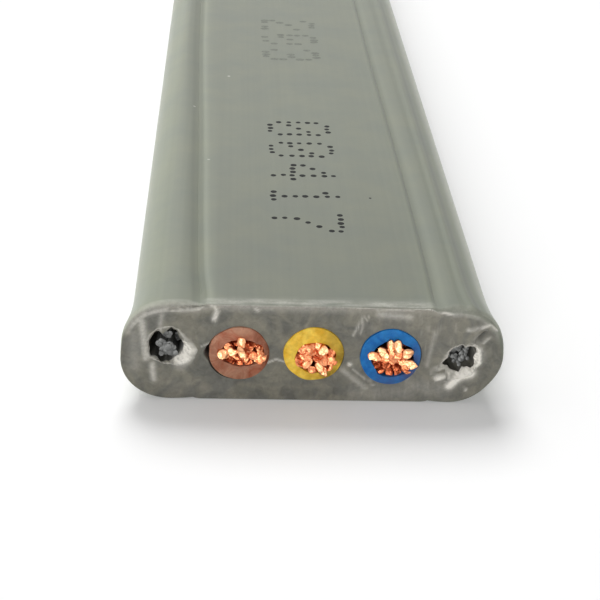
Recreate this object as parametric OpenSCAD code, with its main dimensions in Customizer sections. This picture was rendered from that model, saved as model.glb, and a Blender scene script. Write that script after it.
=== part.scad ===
// Flat elevator cable: a cut length with three insulated cores and two steel ropes
// The cable lies along Y with its thickness along Z, and the cut end with the torn rope sockets faces -Y
// All sizes are in millimetres

/* [Sheath] */
// Length of the cut piece
cable_length = 130; // [120:1:300]
// Width over both edge ribs
cable_width = 19.4; // [19:0.1:26]
// Thickness over the flat band and over the ribs
cable_thickness = 5.8; // [5:0.1:8]
// Radius of the round edge ribs
rib_radius = 2.4; // [2:0.1:2.5]
// Distance from a rib's crest in to the side of the flat band
groove_offset = 1; // [0.6:0.05:1.4]
// Rounding of the flat band's shoulders beside the grooves
shoulder_radius = 0.5; // [0.2:0.05:0.8]

/* [Cores] */
// Distance between the centres of neighbouring cores
core_pitch = 4; // [3.6:0.05:4.4]
// Wall of the coloured insulation
insulation_wall = 0.55; // [0.4:0.05:0.7]
// Diameter of one copper wire
wire_diameter = 0.41; // [0.3:0.01:0.45]
// Length in which the copper wires make one turn
wire_lay = 88; // [70:1:160]

/* [Steel ropes] */
// Distance from the cable's edge in to a rope's centre
rope_edge_distance = 2.25; // [1.9:0.05:2.6]
// Diameter of one rope strand
strand_diameter = 0.48; // [0.3:0.01:0.6]
// Length in which the rope strands make one turn
rope_lay = 88; // [70:1:160]
// How far the left rope has sprung back from the cut end
left_rope_recess = 1.2; // [0:0.1:3]
// How far the right rope has sprung back from the cut end
right_rope_recess = 0.7; // [0:0.1:3]

/* [Torn rope sockets at the cut end] */
// Diameter of the torn mouth at the left rope
left_mouth_diameter = 2.3; // [1.8:0.1:2.8]
// Diameter of the torn mouth at the right rope
right_mouth_diameter = 1.9; // [1.8:0.1:2.8]
// Depth over which a torn mouth narrows to its socket
mouth_depth = 1.6; // [0.5:0.1:3]
// Reach of the left tear from the rope's centre
left_tear_reach = 1.6; // [1:0.1:2]
// Width of the left tear where it leaves the rope's centre
left_tear_width = 1.3; // [0.2:0.1:1.6]
// Direction of the left tear, turning from +X towards +Z
left_tear_angle = 0; // [-180:5:180]
// Reach of the right tear from the rope's centre
right_tear_reach = 1.9; // [1:0.1:2]
// Width of the right tear where it leaves the rope's centre
right_tear_width = 0.6; // [0.2:0.1:1.6]
// Direction of the right tear, turning from +X towards +Z
right_tear_angle = 45; // [-180:5:180]
// Depth of the tears
tear_depth = 0.9; // [0.2:0.1:2]

/* [Fit] */
// Play between members that lie against each other
clearance = 0.02; // [0.01:0.005:0.05]

/* [Hidden] */
WIRE_SIDES = 8;
STRAND_SIDES = 12;
STEPS_PER_TURN = 8;
OVERRUN = 0.5;
ROUND = 96;

CORES = ["brown", "yellow", "blue"];
CORE_COLOURS = ["#8a5a44", "#d8a92a", "#2f66ad"];
ROPES = ["left", "right"];
STRANDS = 6;
RINGS = 2;
WIRES_PER_RING = 6;

sheath_colour = "#8c9084";
copper_colour = "#c07a4e";
steel_colour = "#77797a";

// Steps of a twisted length, and how far its flat facets sink towards the axis halfway between two steps
function lay_steps(lay) = ceil(cable_length / lay * STEPS_PER_TURN);
function lay_turn(lay) = 360 * cable_length / lay;
function facet_sink(lay) = cos(lay_turn(lay) / lay_steps(lay) / 2);
// Spacing of the layers that keeps the twisted members clear of the straight one at the centre
function ring_step(d, lay) = d * (1 + 1 / facet_sink(lay)) / 2 + clearance;

wire_step = ring_step(wire_diameter, wire_lay);
strand_step = ring_step(strand_diameter, rope_lay);
conductor_diameter = wire_diameter + 2 * RINGS * wire_step;
insulation_bore = conductor_diameter + 2 * clearance;
insulation_diameter = insulation_bore + 2 * insulation_wall;
core_bore = insulation_diameter + 2 * clearance;
rope_diameter = strand_diameter + 2 * strand_step;
rope_socket = rope_diameter + 2 * clearance;

rib_corner = min(rib_radius, cable_thickness / 2);
rib_flat = cable_thickness - 2 * rib_corner;
rib_x = cable_width / 2 - rib_corner;
band_width = 2 * (rib_x - groove_offset);
rope_x = cable_width / 2 - rope_edge_distance;

function core_x(i) = (i - (len(CORES) - 1) / 2) * core_pitch;
function side_x(i, x) = (2 * i - 1) * x;
function rope_recess(i) = i == 0 ? left_rope_recess : right_rope_recess;

// Stands a section up across the cable: drawn in X and Z, and run from the far end towards the cut end
module along_cable() {
    translate([0, cable_length / 2, cable_thickness / 2])
        rotate([90, 0, 0])
            children();
}

module rounded_rect(w, h, r) {
    square([w, h - 2 * r], center = true);
    square([w - 2 * r, h], center = true);
    for (x = [-1, 1], z = [-1, 1])
        translate([x * (w / 2 - r), z * (h / 2 - r)])
            circle(r = r, $fn = ROUND);
}

module rib_section() {
    if (rib_flat > 0)
        square([2 * rib_corner, rib_flat], center = true);
    for (z = [-1, 1])
        translate([0, z * rib_flat / 2])
            circle(r = rib_corner, $fn = ROUND);
}

// Flat band between two full round ribs
module sheath_section() {
    rounded_rect(band_width, cable_thickness, shoulder_radius);
    for (side = [-1, 1])
        translate([side * rib_x, 0])
            rib_section();
}

// Where the cutter has torn a rope's socket open: a flared mouth, and a wedge-shaped tear to one side
module torn_mouth(mouth, reach, width, angle) {
    flare = max(mouth - rope_socket, 0) / mouth_depth;
    mouth_run = mouth_depth + OVERRUN;
    translate([0, 0, cable_length - mouth_depth])
        cylinder(h = mouth_run, d1 = rope_socket, d2 = rope_socket + flare * mouth_run, $fn = ROUND);
    translate([0, 0, cable_length - tear_depth])
        rotate([0, 0, angle])
            linear_extrude(tear_depth + OVERRUN)
                polygon([[0, -width / 2], [reach, 0], [0, width / 2]]);
}

module sheath() {
    color(sheath_colour)
        along_cable()
            difference() {
                linear_extrude(cable_length)
                    sheath_section();
                for (i = [0:len(CORES) - 1])
                    translate([core_x(i), 0, -OVERRUN])
                        cylinder(h = cable_length + 2 * OVERRUN, d = core_bore, $fn = ROUND);
                for (x = [-rope_x, rope_x])
                    translate([x, 0, -OVERRUN])
                        cylinder(h = cable_length + 2 * OVERRUN, d = rope_socket, $fn = ROUND);
                translate([-rope_x, 0])
                    torn_mouth(left_mouth_diameter, left_tear_reach, left_tear_width, left_tear_angle);
                translate([rope_x, 0])
                    torn_mouth(right_mouth_diameter, right_tear_reach, right_tear_width, right_tear_angle);
            }
}

module insulation(i) {
    color(CORE_COLOURS[i])
        along_cable()
            translate([core_x(i), 0])
                difference() {
                    cylinder(h = cable_length, d = insulation_diameter, $fn = ROUND);
                    translate([0, 0, -OVERRUN])
                        cylinder(h = cable_length + 2 * OVERRUN, d = insulation_bore, $fn = ROUND);
                }
}

module centre_wire(i) {
    color(copper_colour)
        along_cable()
            translate([core_x(i), 0])
                cylinder(h = cable_length, d = wire_diameter, $fn = ROUND);
}

// One layer of a conductor, laid in a long right-hand turn: the second ring has twice the first one's wires
module wire_layer(i, ring) {
    wires = WIRES_PER_RING * ring;
    color(copper_colour)
        along_cable()
            translate([core_x(i), 0])
                linear_extrude(cable_length, twist = -lay_turn(wire_lay), slices = lay_steps(wire_lay))
                    for (k = [0:wires - 1])
                        rotate(k * 360 / wires)
                            translate([ring * wire_step, 0])
                                circle(d = wire_diameter, $fn = WIRE_SIDES);
}

module rope_core_strand(i) {
    color(steel_colour)
        along_cable()
            translate([side_x(i, rope_x), 0])
                cylinder(h = cable_length - rope_recess(i), d = strand_diameter, $fn = ROUND);
}

// One outer strand of a rope, laid round the core strand
module rope_strand(i, k) {
    rope_length = cable_length - rope_recess(i);
    color(steel_colour)
        along_cable()
            translate([side_x(i, rope_x), 0])
                linear_extrude(rope_length, twist = -lay_turn(rope_lay) * rope_length / cable_length,
                               slices = lay_steps(rope_lay))
                    rotate((k - 1) * 360 / STRANDS)
                        translate([strand_step, 0])
                            circle(d = strand_diameter, $fn = STRAND_SIDES);
}

sheath();

for (i = [0:len(CORES) - 1]) {
    insulation(i);
    centre_wire(i);
    wire_layer(i, 1);
    wire_layer(i, RINGS);
}

for (i = [0:len(ROPES) - 1]) {
    rope_core_strand(i);
    for (k = [1:STRANDS])
        rope_strand(i, k);
}
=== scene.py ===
"""Flat elevator cable: a cut length of grey grooved sheath with three copper cores and two steel ropes."""

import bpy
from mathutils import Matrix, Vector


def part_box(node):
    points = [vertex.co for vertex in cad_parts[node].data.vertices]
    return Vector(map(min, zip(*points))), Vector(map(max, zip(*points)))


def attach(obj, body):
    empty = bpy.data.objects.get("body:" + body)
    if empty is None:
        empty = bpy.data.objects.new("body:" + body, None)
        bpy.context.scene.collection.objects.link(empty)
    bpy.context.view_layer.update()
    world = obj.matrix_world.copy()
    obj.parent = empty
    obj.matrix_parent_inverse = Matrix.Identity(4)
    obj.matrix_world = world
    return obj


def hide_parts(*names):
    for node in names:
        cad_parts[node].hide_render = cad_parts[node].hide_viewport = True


bl_info = {
    "name": "Flat Elevator Cable",
    "version": (1, 0, 0),
    "blender": (4, 5, 0),
    "location": "3D View > Sidebar > Cable",
    "description": "Models a cut length of flat elevator cable on its packed frame",
    "category": "Object",
}

import math
import random

import bpy
from bpy.props import FloatProperty, PointerProperty, StringProperty
from mathutils import Matrix, Vector, noise

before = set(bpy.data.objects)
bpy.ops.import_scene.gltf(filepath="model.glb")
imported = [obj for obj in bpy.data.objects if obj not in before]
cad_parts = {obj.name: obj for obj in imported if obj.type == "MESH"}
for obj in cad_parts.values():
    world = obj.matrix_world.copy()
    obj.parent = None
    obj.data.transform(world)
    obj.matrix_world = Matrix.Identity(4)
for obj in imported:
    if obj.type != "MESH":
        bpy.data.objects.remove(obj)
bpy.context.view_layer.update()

MM = 0.001
CORES = ("brown", "yellow", "blue")
ROPES = ("left", "right")
STRANDS = 6

# The sheath's own box gives the cable's sizes: the cut end faces -Y
SHEATH_LOW, SHEATH_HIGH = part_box("sheath")
HALF_WIDTH = (SHEATH_HIGH.x - SHEATH_LOW.x) / 2
HALF_THICK = (SHEATH_HIGH.z - SHEATH_LOW.z) / 2
MID_Z = (SHEATH_HIGH.z + SHEATH_LOW.z) / 2
CUT_Y, FAR_Y = SHEATH_LOW.y, SHEATH_HIGH.y
LENGTH = FAR_Y - CUT_Y


def centre_x(name):
    """Where a CAD node stands across the cable."""
    low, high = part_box(name)
    return (low.x + high.x) / 2


def half_x(name):
    """Half a CAD node's width across the cable."""
    low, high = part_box(name)
    return (high.x - low.x) / 2


CORE_X = {core: centre_x(f"{core}_insulation") for core in CORES}
ROPE_X = {rope: centre_x(f"{rope}_rope_core_strand") for rope in ROPES}
INSULATION_RADIUS = half_x("brown_insulation")
WIRE_RADIUS = half_x("brown_centre_wire")
WIRE_STEP = (half_x("brown_outer_wires") - WIRE_RADIUS) / 2
STRAND_RADIUS = half_x("left_rope_core_strand")
ROPE_EDGE = max(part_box(f"left_rope_strand_{k}")[1].x for k in range(1, STRANDS + 1))
STRAND_STEP = ROPE_EDGE - ROPE_X["left"] - STRAND_RADIUS
# The sheath's bores have a little play round the cores and the ropes
CORE_PLAY, SOCKET_PLAY = 0.004 * MM, 0.02 * MM
SOCKET_RADIUS = STRAND_STEP + STRAND_RADIUS + SOCKET_PLAY

# How the cutter left each core at the cut end, in parts of its round size and in millimetres:
# outside width and height, outside shift, opening width and height, opening shift
CORE_PRESS = {
    "brown": ((0.957, 0.95), (0.05, -0.02), (1.11, 0.76), (0.22, 0.05)),
    "yellow": ((0.965, 0.95), (0.0, 0.02), (1.0, 0.86), (0.09, -0.16)),
    "blue": ((0.965, 1.0), (0.06, -0.06), (1.055, 1.03), (0.18, -0.19)),
}
# Where the sheath has come away from a core: direction in degrees, how far in millimetres,
# and how narrow the gap is
CORE_GAPS = {
    "brown": ((180, 0.25, 26), (215, 0.09, 3)),
    "yellow": ((330, 0.05, 5),),
    "blue": ((140, 0.03, 5),),
}
# Each torn rope mouth at the cut end, as angles in degrees from +X towards +Z and reaches in millimetres
# from its middle: the edge of the hole, and the outer edge of its torn lip
MOUTH_HOLES = {
    "left": (
        (178, 1.0), (163, 1.08), (152, 1.06), (126, 1.17), (117, 1.1), (111, 0.85), (104, 0.92),
        (95, 1.0), (84, 1.2), (71, 1.12), (48, 0.82), (14, 0.74), (-11, 0.78), (-44, 0.83), (-69, 0.8),
        (-81, 0.84), (-100, 0.8), (-114, 0.95), (-123, 0.91), (-137, 0.84), (-145, 0.84), (-150, 1.08),
        (-170, 1.01),
    ),
    "right": (
        (182, 0.67), (133, 0.7), (109, 0.64), (91, 0.76), (70, 0.6), (56, 0.84), (38, 0.93), (22, 0.85),
        (3, 0.65), (-22, 0.8), (-42, 1.0), (-51, 1.0), (-57, 0.88), (-77, 0.78), (-89, 1.06),
        (-104, 1.04), (-116, 1.06), (-129, 0.96), (-136, 1.06), (-148, 1.05), (-162, 0.9),
    ),
}
MOUTH_LIPS = {
    "left": (
        (83, 1.3), (56, 1.12), (17, 1.04), (-6, 1.3), (-22, 1.24), (-38, 1.28), (-66, 1.21), (-90, 1.0),
        (-120, 1.0), (-150, 1.16), (180, 1.1), (135, 1.25), (110, 1.32),
    ),
    "right": (
        (200, 1.2), (214, 1.6), (222, 1.7), (229, 1.4), (238, 1.5), (249, 1.75), (258, 1.6), (267, 1.36),
        (-76, 1.3), (-55, 1.25), (-42, 1.15), (-31, 1.06), (-7, 1.12), (20, 1.06), (40, 1.1), (58, 0.98),
        (74, 0.86), (108, 0.8), (148, 0.82),
    ),
}
# Shift of each torn mouth, and of the rope in it, at the cut end, in millimetres
MOUTH_SHIFT = {"left": (-0.18, 0.24), "right": (0.34, 0.0)}
ROPE_SHIFT = {"left": (-0.18, 0.14), "right": (0.3, -0.3)}


def length_setting(name, description, millimetres):
    """A length that the user can change, given in millimetres."""
    return FloatProperty(
        name=name, description=description, default=millimetres * MM, unit="LENGTH", precision=5
    )


def colour_setting(name, description, default):
    """A colour that the user can change, as sRGB hex."""
    return StringProperty(name=name, description=f"{description}, as sRGB hex", default=default)


class CableSheathSettings(bpy.types.PropertyGroup):
    """Sizes and colours of the sheath"""

    rib_radius: length_setting("Rib radius", "Radius of the round edge ribs", 2.4)
    groove_offset: length_setting("Groove offset", "Distance from a rib's crest to the flat band's side", 1)
    shoulder_radius: length_setting("Shoulder radius", "Rounding of the flat band's shoulders", 0.5)
    flare: length_setting("Flare", "How far the cutter has spread each rib at the cut end", 0.43)
    flare_depth: length_setting("Flare depth", "How far back from the cut end the spreading reaches", 4.5)
    press_depth: length_setting("Press depth", "How far back the cores are pressed out of round", 4)
    colour: colour_setting("Sheath colour", "Extruded skin", "717568")
    cut_colour: colour_setting("Cut colour", "Cut face", "706f66")
    torn_colour: colour_setting("Torn colour", "Stress-whitened PVC", "f2eee4")


class CableCoreSettings(bpy.types.PropertyGroup):
    """Sizes and colours of the cores and the ropes"""

    wall: length_setting("Insulation wall", "Wall of the coloured insulation", 0.55)
    lay: length_setting("Lay", "Length in which the wires and strands make one turn", 88)
    brown: colour_setting("Brown", "Brown insulation", "b08267")
    yellow: colour_setting("Yellow", "Yellow insulation", "eac44a")
    blue: colour_setting("Blue", "Blue insulation", "1e74b4")
    copper: colour_setting("Copper", "Bare copper", "e59062")
    # Colour of the painted near-white highlight on the copper ends that stand out
    sheared: colour_setting("Sheared copper", "Copper that is sheared to a mirror", "fbbd8c")
    steel: colour_setting("Steel", "Galvanised rope wire", "838482")


class CablePrintSettings(bpy.types.PropertyGroup):
    """Digits, dots and inks of the printing"""

    number: StringProperty(name="Number", description="Digits of the crisp print", default="00417")
    faded_number: StringProperty(name="Faded number", description="Digits of the worn print", default="203")
    dot: length_setting("Dot", "Diameter of one ink dot", 0.37)
    ink: colour_setting("Ink", "Crisp ink", "141514")
    faded_ink: colour_setting("Faded ink", "Worn ink", "6f726a")


def sheath_settings():
    """The sheath's settings in this scene."""
    return bpy.context.scene.cable_sheath


def core_settings():
    """The settings of the cores and ropes in this scene."""
    return bpy.context.scene.cable_cores


def soft(start, end, value):
    """Smooth step from 0 at start to 1 at end."""
    t = min(max((value - start) / (end - start), 0.0), 1.0)
    return t * t * (3 - 2 * t)


def soft_mm(start, end, value):
    """The same smooth step, between two lengths given in millimetres."""
    return soft(start * MM, end * MM, value)


def ripple(x, z, size, seed=0.0):
    """Smooth noise from -1 to 1 whose lumps are about that many metres across."""
    return noise.noise(Vector((x / size, seed, z / size)))


def bell(distance, width):
    """A smooth hump, 1 in its middle."""
    return math.exp(-((distance / width) ** 2))


def mixed(first, second, share):
    """The first value, with this share of it taken over by the second."""
    return first * (1 - share) + second * share


def half_turn(degrees):
    """The same direction, from -180 to 180 degrees."""
    return (degrees + 180) % 360 - 180


def linear(hex_colour):
    """An sRGB hex colour as linear RGBA."""
    parts = [int(hex_colour[i:i + 2], 16) / 255 for i in (0, 2, 4)]
    return [c / 12.92 if c <= 0.04045 else ((c + 0.055) / 1.055) ** 2.4 for c in parts] + [1.0]


def tinted(colour, parts, lift=0.0):
    """A linear colour whose red, green and blue are these parts of themselves, and lifted."""
    return [min(c * part + lift, 1.0) for c, part in zip(colour, parts)] + [1.0]


def add_node(tree, kind, inputs=None, stops=(), **settings):
    """Adds a shader node with its settings and colour stops, and a value or a link for each input."""
    made = tree.nodes.new("ShaderNode" + kind)
    for name, value in settings.items():
        setattr(made, name, value)
    for i, (position, colour) in enumerate(stops):
        made.color_ramp.elements[i].position = position
        made.color_ramp.elements[i].color = colour
    for socket, value in (inputs or {}).items():
        if isinstance(value, bpy.types.Node):
            value = value.outputs[0]
        if isinstance(value, bpy.types.NodeSocket):
            tree.links.new(value, made.inputs[socket])
        else:
            made.inputs[socket].default_value = value
    return made


def new_material(name):
    """An empty node material: its tree, and its Object coordinates."""
    material = bpy.data.materials.new(name)
    material.use_nodes = True
    tree = material.node_tree
    tree.nodes.clear()
    return material, tree, add_node(tree, "TexCoord").outputs["Object"]


def deselect():
    """Leaves object mode with nothing selected."""
    if bpy.context.object and bpy.context.object.mode != "OBJECT":
        bpy.ops.object.mode_set(mode="OBJECT")
    bpy.ops.object.select_all(action="DESELECT")


def activate(obj):
    """Selects only this piece and makes it the active one."""
    deselect()
    obj.select_set(True)
    bpy.context.view_layer.objects.active = obj


def mesh_piece(name, points, faces):
    """A new mesh object with these points and faces."""
    mesh = bpy.data.meshes.new(name)
    mesh.from_pydata(points, [], faces)
    mesh.validate()
    obj = bpy.data.objects.new(name, mesh)
    bpy.context.scene.collection.objects.link(obj)
    return obj


def mark(obj, name, values):
    """Gives each point of a piece a value for its material to read."""
    obj.data.attributes.new(name, "FLOAT", "POINT").data.foreach_set("value", values)


def finish_piece(obj, material, slot, *nodes):
    """Gives a piece its finish and its body, and hides the CAD nodes that it stands for."""
    obj.data.materials.clear()
    obj.data.materials.append(material)
    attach(obj, "root")
    if nodes:
        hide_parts(*nodes)


def smooth_by_angle(obj, degrees):
    """Smooth shading with creases where faces meet at more than this angle."""
    activate(obj)
    bpy.ops.object.shade_smooth_by_angle(angle=math.radians(degrees))


def face_outwards(obj):
    """Turns all the faces of a piece outwards."""
    activate(obj)
    bpy.ops.object.mode_set(mode="EDIT")
    bpy.ops.mesh.select_all(action="SELECT")
    bpy.ops.mesh.normals_make_consistent(inside=False)
    bpy.ops.object.mode_set(mode="OBJECT")


# Shape of the sheath's section, in X and Z about its middle


def rib_x():
    """How far the ribs' crests stand from the middle."""
    return HALF_WIDTH - sheath_settings().rib_radius


def section_height(x):
    """Half the sheath's thickness at x: the flat band with rounded shoulders, or the round rib."""
    s = sheath_settings()
    x = abs(x)
    band_edge = rib_x() - s.groove_offset
    over = x - (band_edge - s.shoulder_radius)
    band = 0.0
    if over <= 0:
        band = HALF_THICK
    elif over < s.shoulder_radius:
        band = HALF_THICK - s.shoulder_radius + math.sqrt(s.shoulder_radius ** 2 - over ** 2)
    across = x - rib_x()
    rib = 0.0
    if abs(across) < s.rib_radius:
        rib = HALF_THICK - s.rib_radius + math.sqrt(s.rib_radius ** 2 - across ** 2)
    return max(band, rib)


def way_out(x, z):
    """Distance from a point of the section out to the skin, and the way there."""
    s = sheath_settings()
    side = math.copysign(1.0, x)
    if abs(x) <= rib_x():
        return section_height(x) - abs(z), Vector((0.0, math.copysign(1.0, z)))
    lift = HALF_THICK - s.rib_radius
    arm = Vector((abs(x) - rib_x(), z - min(max(z, -lift), lift)))
    reach = arm.length
    out = arm / reach if reach > 1e-9 else Vector((1.0, 0.0))
    return s.rib_radius - reach, Vector((side * out.x, out.y))


# Rounding of the cut edge in millimetres: the least, and what the left and the right rib have more
RIM_LEAST, RIM_LEFT, RIM_RIGHT = 0.1, 0.44, 0.42
# The flare starts this far from the middle, and the left rib has more of it
FLARE_START, FLARE_LEFT = 4.6 * MM, 1.12
# How far back the cutter has pressed the grooves shut, and how much of their depth it has filled
FILL_DEPTH, FILL_SHARE = 2.6 * MM, 0.7


def upper(z):
    """1 on the top of the section, 0 at its sides and below."""
    return soft_mm(0.6, 1.8, z)


def rim_radius(x, z):
    """How far the cut edge is rounded over: wide on both ribs, sharp between them, ragged on the right."""
    top = soft_mm(-0.5, 1.5, z)
    left = soft_mm(-5.6, -7.0, x)
    right = soft_mm(6.0, 7.2, x)
    ragged = soft_mm(1.2, 3.6, x) * (1 - right)
    torn = ragged * (0.04 + 0.1 * ripple(x, 0.0, 0.5 * MM, 3.0))
    return (RIM_LEAST + top * (RIM_LEFT * left + RIM_RIGHT * right + torn)) * MM


def rim_white(x, z, across):
    """Whitening of the rounded cut edge, and a painted highlight band on it at the ribs: across runs from 0
    on the skin's side to 1 on the face's side.
    """
    left, right = soft_mm(-5.2, -6.6, x), soft_mm(1.2, 3.4, x)
    broken = 0.85 + 0.9 * ripple(x, z, 0.4 * MM, 5.0) * (0.3 + 0.7 * right)
    narrow = 0.2 * max(left, right)
    line = bell(across - 0.6 - narrow, 0.32 - narrow) * (1 - 0.7 * soft_mm(6.0, 8.4, x))
    # band is a painted highlight: a soft pale band over the left rib's rounded edge, fainter on the right
    band = (0.26 * left + 0.13 * soft_mm(4.5, 6.5, x)) * bell(across - 0.45, 0.35)
    return upper(z) * ((0.38 + 0.18 * right) * line * broken + band)


def bruised(x, z, gap):
    """Whitening of the cut face in a soft strip below its top edge."""
    strip = soft_mm(0.65, 0.0, gap) * upper(z)
    return strip * (0.2 - 0.08 * soft_mm(1.0, 4.0, x) + 0.08 * ripple(x, z, 1.2 * MM, 15.0))


def strained(x, z, depth):
    """Whitening of the flat top's skin in a streaky strip behind the cut edge."""
    strip = soft_mm(0.9, 0.5, depth) * soft_mm(-6.3, -5.7, x) * soft_mm(6.4, 5.8, x)
    streak = 0.15 + 0.16 * ripple(0.15 * x, depth, 0.22 * MM, 11.0) + 0.08 * ripple(x, depth, 0.6 * MM, 13.0)
    return strip * streak * upper(z)


def cut_share(x, across):
    """How much of the rounded cut edge has the look of the face: less of it on the right rib."""
    middle = 0.5 + 0.3 * soft_mm(4.0, 6.5, x)
    return soft(middle - 0.2, middle + 0.2, across)


def flared(x, z, depth):
    """Where the flare at the cut end puts x: most at mid height, least low on the right."""
    s = sheath_settings()
    back = max(0.0, 1 - depth / s.flare_depth) ** 2.5
    spread = s.flare * (FLARE_LEFT if x < 0 else 1.0 - 0.85 * soft_mm(0.2, -2.2, z))
    return x + math.copysign(1.0, x) * spread * soft(FLARE_START, HALF_WIDTH, abs(x)) * back


def filled(x, z, depth):
    """Where the cutter, which pressed the grooves nearly shut at the cut end, puts z."""
    if abs(x) > rib_x():
        return z
    h = section_height(x)
    back = max(0.0, 1 - depth / FILL_DEPTH) ** 2
    return z + math.copysign(1.0, z) * FILL_SHARE * back * (HALF_THICK - h) * (abs(z) / h) ** 4


# Fine lines that the die has left along the top: X, height and width, in millimetres
DIE_LINES = ((-6.05, -0.04, 0.08), (7.6, -0.04, 0.15), (7.95, 0.035, 0.14), (8.45, -0.04, 0.2))


def die_line(x, z):
    """How far the skin stands out along the lines that the die has left."""
    if z <= 0:
        return 0.0
    return sum(height * bell(x / MM - at, width) for at, height, width in DIE_LINES) * MM


def drifted(x, z, depth):
    """How far the flat band wanders to the left behind the cut end, after a start to the right."""
    left, right = soft_mm(2, -5, x), soft_mm(-2, 5, x)
    # In millimetres: all along the band, on its left near the cut end, and just behind the cut end
    shift = (-0.4 * right - 0.75 * left) * soft_mm(6, 52, depth)
    shift += 0.36 * left * max(0.0, 1 - depth / (16 * MM)) ** 2
    shift += (0.1 * right - 0.15 * left) * soft_mm(0.5, 4, depth)
    return shift * MM * soft_mm(8.8, 6.6, abs(x)) * soft_mm(0.0, 1.5, z)


# Painted shade in the grooves, below 0, and painted light on the shoulders and ribs, above 0: X, strength and
# width in millimetres
PAINTED_LIGHT_AND_SHADE_LINES = (
    (-9.5, 0.8, 0.2), (-9.2, 2.8, 1.5), (-6.58, -0.5, 0.13), (-6.3, 0.4, 0.1), (-5.77, 1.5, 0.17),
    (-5.55, 0.55, 0.4), (5.95, 0.75, 0.15), (6.32, -0.5, 0.13), (6.62, 0.5, 0.2), (7.5, 0.2, 0.15),
    (7.9, 0.5, 0.15), (8.28, -1.0, 0.14), (9.25, 3.6, 0.5),
)


def painted_light_and_shade(x, depth):
    """Painted light and shade of the skin: shade in the grooves, light on the shoulders and ribs, and painted
    shade on the flat band near the cut end.
    """
    worn = sum(strength * bell(x / MM - at, width) for at, strength, width in PAINTED_LIGHT_AND_SHADE_LINES)
    return worn - 0.5 * soft_mm(24, 3, depth) * soft_mm(6.2, 5.0, abs(x))


def pressed(depth):
    """How much of the cutter's squeeze is left at this depth."""
    return 1 - soft(0.0, sheath_settings().press_depth, depth)


# Pale marks on the cut face, most of them the cutter's: start and end in X and Z, width, in millimetres, and
# strength
FACE_MARKS = (
    (-8.05, 2.25, -8.05, 1.3, 0.14, 0.25),
    (-9.02, 1.8, -8.8, -0.4, 0.2, 0.42),
    (-8.5, -0.8, -8.42, -1.7, 0.16, 0.45),
    (-7.7, 2.52, -6.95, 2.68, 0.1, 0.5),
    (-6.95, 2.68, -5.95, 2.86, 0.07, 0.35),
    (-5.95, 2.85, -5.6, 2.82, 0.11, 0.5),
    (-5.6, 2.82, -5.38, 2.45, 0.11, 0.55),
    (-5.38, 2.45, -5.32, 2.02, 0.13, 0.7),
    (-3.45, 2.72, -3.25, 2.58, 0.1, 0.5),
    (1.9, -0.6, 1.96, -0.6, 0.1, 0.8),
    (-2.4, -0.55, -2.0, -0.34, 0.06, 0.45),
    (-2.0, -0.34, -1.5, -0.5, 0.06, 0.45),
    # These four wide faint marks only make the face paler at its left edge and along its bottom
    (-9.45, 1.0, -9.4, -0.9, 0.35, 0.12),
    (5.2, -1.9, 7.0, -2.1, 0.5, 0.12),
    (2.4, -2.4, 5.2, -2.3, 0.5, 0.1),
    (-7.6, -2.2, -4.6, -2.2, 0.5, 0.04),
    (3.2, 2.72, 5.0, 2.8, 0.16, 0.25),
    (-5.92, 0.34, -5.5, 0.55, 0.05, 0.3),
    (2.0, 1.2, 2.5, 2.3, 0.07, 0.3),
    (2.35, 1.3, 2.75, 2.35, 0.06, 0.25),
    (1.6, -1.0, 2.9, -2.1, 0.16, 0.25),
    (2.1, -0.9, 3.3, -1.9, 0.06, 0.25),
    (3.3, 2.5, 4.9, 2.35, 0.2, 0.3),
    (5.0, -1.6, 5.5, -0.4, 0.07, 0.22),
    (6.3, 1.4, 6.05, -0.6, 0.12, 0.18),
    (8.7, 1.75, 9.25, 2.0, 0.1, 0.55),
    (9.25, 2.0, 9.7, 1.68, 0.09, 0.75),
    (8.95, 0.85, 9.2, 1.15, 0.08, 0.4),
    (8.05, 1.62, 8.5, 1.66, 0.1, 0.4),
    (7.9, -1.14, 8.35, -0.98, 0.28, 1.5),
    (8.3, -0.86, 8.78, -0.35, 0.14, 1.0),
    (8.8, -0.3, 8.72, 0.45, 0.13, 1.0),
    (6.65, -1.38, 7.0, -1.28, 0.15, 1.0),
    (7.35, -1.85, 7.7, -1.4, 0.23, 1.2),
    (7.6, -1.4, 7.95, -1.25, 0.16, 0.9),
    (8.2, -2.05, 8.3, -2.1, 0.08, 0.5),
)
# Where the cutter tore or folded the face: start and end in X and Z, width and depth, in millimetres
CREASES = (
    (8.62, 0.99, 9.02, 1.47, 0.09, 0.3),
    (-7.8, 2.64, -5.9, 2.82, 0.07, 0.2),
)


def line_gap(x, z, x0, z0, x1, z1):
    """Distance from a point of the section to a straight line between two points given in millimetres."""
    start, end, here = Vector((x0, z0)) * MM, Vector((x1, z1)) * MM, Vector((x, z))
    along = min(max((here - start).dot(end - start) / max((end - start).length_squared, 1e-12), 0.0), 1.0)
    return (here - start.lerp(end, along)).length


def face_mark(x, z):
    """Whitening of the cut face by the cutter's marks at a point."""
    return max(strength * bell(line_gap(x, z, *line), width * MM) for *line, width, strength in FACE_MARKS)


def crease(x, z):
    """Depth of the tears and folds of the cut face at a point."""
    return sum(deep * bell(line_gap(x, z, *line), width * MM) for *line, width, deep in CREASES) * MM


# How far the cut face lies in from the cut plane, and how far the cutter's pale marks stand out of it,
# in millimetres
FACE_SUNK, MARK_RAISED = 0.05, 0.13


def face_depth(x, z):
    """Unevenness of the cut face, as depth in from the cut plane."""
    right = soft_mm(1.0, 4.0, x)
    waves = 0.035 * ripple(x, z, 1.6 * MM, 7.0) + 0.025 * ripple(x, z, 0.6 * MM, 9.0) * (0.4 + right)
    return (FACE_SUNK + waves - MARK_RAISED * face_mark(x, z)) * MM


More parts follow.
